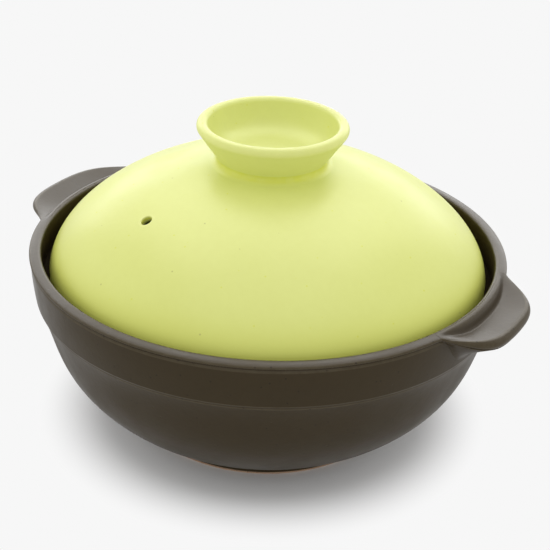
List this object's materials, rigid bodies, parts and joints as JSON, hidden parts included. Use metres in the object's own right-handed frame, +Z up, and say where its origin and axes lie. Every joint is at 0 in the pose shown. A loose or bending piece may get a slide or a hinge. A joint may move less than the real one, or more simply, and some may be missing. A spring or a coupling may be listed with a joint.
{
  "type": "earthenware stew pot",
  "caption": "Round glazed stoneware stew pot with lug handles and a domed lift-off lid with a ring knob, for simmering at the stove or table.",
  "frame": {"origin": "on the table under the middle of the foot ring, which is the bottom centre of the bounding box", "axes": "+Z up along the pot's turning axis and the lid's lift; +X towards the right handle, so the handles lie along X"},
  "size_m": [0.2852, 0.25, 0.1677],
  "materials": {
    "brown_glaze": "satin dark brown glaze",
    "bare_clay": "unglazed buff clay",
    "handle_glaze": "satin dark brown glaze",
    "lime_glaze": "satin yellow-green glaze",
    "knob_glaze": "satin yellow-green glaze"
  },
  "bodies": {
    "pot": {"pot_bowl": "brown_glaze", "foot_ring": "bare_clay", "right_handle": "handle_glaze", "left_handle": "handle_glaze"},
    "lid": {"lid_dome": "lime_glaze", "lid_knob": "knob_glaze"}
  },
  "joints": [
    {"name": "lid_lift", "type": "slide", "parent": "pot", "child": "lid", "axis": [0, 0, 1], "range_m": [0, 0.15]}
  ]
}
